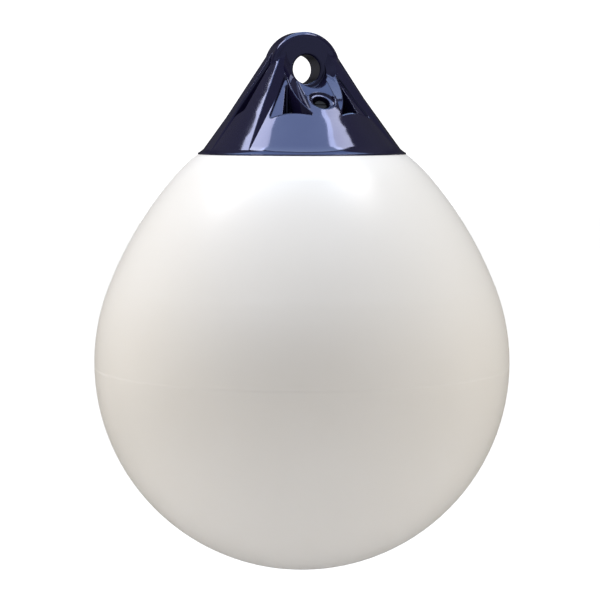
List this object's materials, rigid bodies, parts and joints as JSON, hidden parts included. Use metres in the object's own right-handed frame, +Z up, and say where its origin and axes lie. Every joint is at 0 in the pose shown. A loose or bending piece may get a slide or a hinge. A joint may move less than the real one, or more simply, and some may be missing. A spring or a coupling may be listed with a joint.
{
  "type": "ball fender",
  "caption": "Inflatable pear-shaped ball fender: a hollow soft vinyl ball under a solid moulded rope hold with a round eye, webs, pockets and a screw valve.",
  "frame": {"origin": "centre of the rope eye", "axes": "+Z up along the axis of the ball, +Y along the bore of the eye, with the valve on the -Y side"},
  "size_m": [0.3899, 0.3898, 0.5035],
  "materials": {
    "white_vinyl": "smooth soft vinyl, satin to glossy",
    "blue_vinyl": "glossy moulded vinyl, navy",
    "valve_plastic": "hard plastic, near black",
    "seal_rubber": "soft black rubber"
  },
  "bodies": {
    "root": {"ball_body": "white_vinyl", "rope_hold": "blue_vinyl", "valve_bush": "valve_plastic", "valve_screw": "valve_plastic", "valve_seal": "seal_rubber"}
  },
  "joints": []
}
